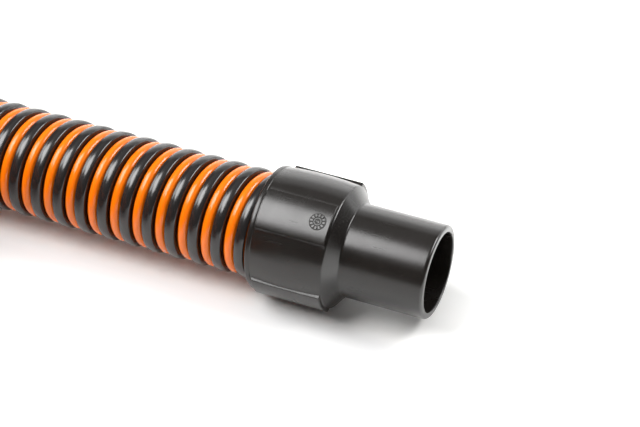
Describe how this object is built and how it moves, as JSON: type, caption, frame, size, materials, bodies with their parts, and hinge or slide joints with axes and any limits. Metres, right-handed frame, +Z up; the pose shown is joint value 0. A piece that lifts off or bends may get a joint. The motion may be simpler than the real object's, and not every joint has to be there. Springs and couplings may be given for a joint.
{
  "type": "pool vacuum hose",
  "caption": "Spirally wound suction hose with black and orange ribs, a swivel cuff at one end and a fixed cuff at the other, stored as a tied coil.",
  "frame": {"origin": "centre of the swivel cuff's mouth, in the plane of its end face", "axes": "+X out of the swivel cuff's mouth along its axis, +Z up; the hose leaves towards -X, and the part rests on a floor 30.24 mm below the axis"},
  "size_m": [0.8022, 0.7014, 0.1098],
  "materials": {
    "cuff_plastic": "moulded, semi-gloss, finely scuffed",
    "sleeve_plastic": "moulded, plain",
    "washer_plastic": "smooth, waxy",
    "spring_steel": "ground edges",
    "seal_rubber": "matt",
    "hose_wall": "extruded, smooth",
    "black_rib": "extruded, semi-gloss",
    "orange_rib": "extruded, glossy",
    "tie_fabric": "woven hook-and-loop tape"
  },
  "bodies": {
    "hose": {"swivel_sleeve": "sleeve_plastic", "swivel_gasket": "seal_rubber", "near_liner": "hose_wall", "near_black_strip": "black_rib", "near_orange_strip": "orange_rib", "hose_lead": "black_rib", "hose_coil": "black_rib", "hose_tail": "black_rib", "far_liner": "hose_wall", "far_black_strip": "black_rib", "far_orange_strip": "orange_rib", "fixed_sleeve": "sleeve_plastic", "fixed_gasket": "seal_rubber", "fixed_cuff": "cuff_plastic", "tie_strap_1": "tie_fabric", "tie_strap_2": "tie_fabric", "tie_strap_3": "tie_fabric"},
    "swivel": {"swivel_cuff": "cuff_plastic", "swivel_seal": "seal_rubber", "thrust_washer": "washer_plastic", "snap_ring": "spring_steel"}
  },
  "joints": [
    {"name": "cuff_swivel", "type": "hinge", "parent": "hose", "child": "swivel", "pos_m": [-0.066, 0, 0], "axis": [1, 0, 0], "continuous": true}
  ]
}
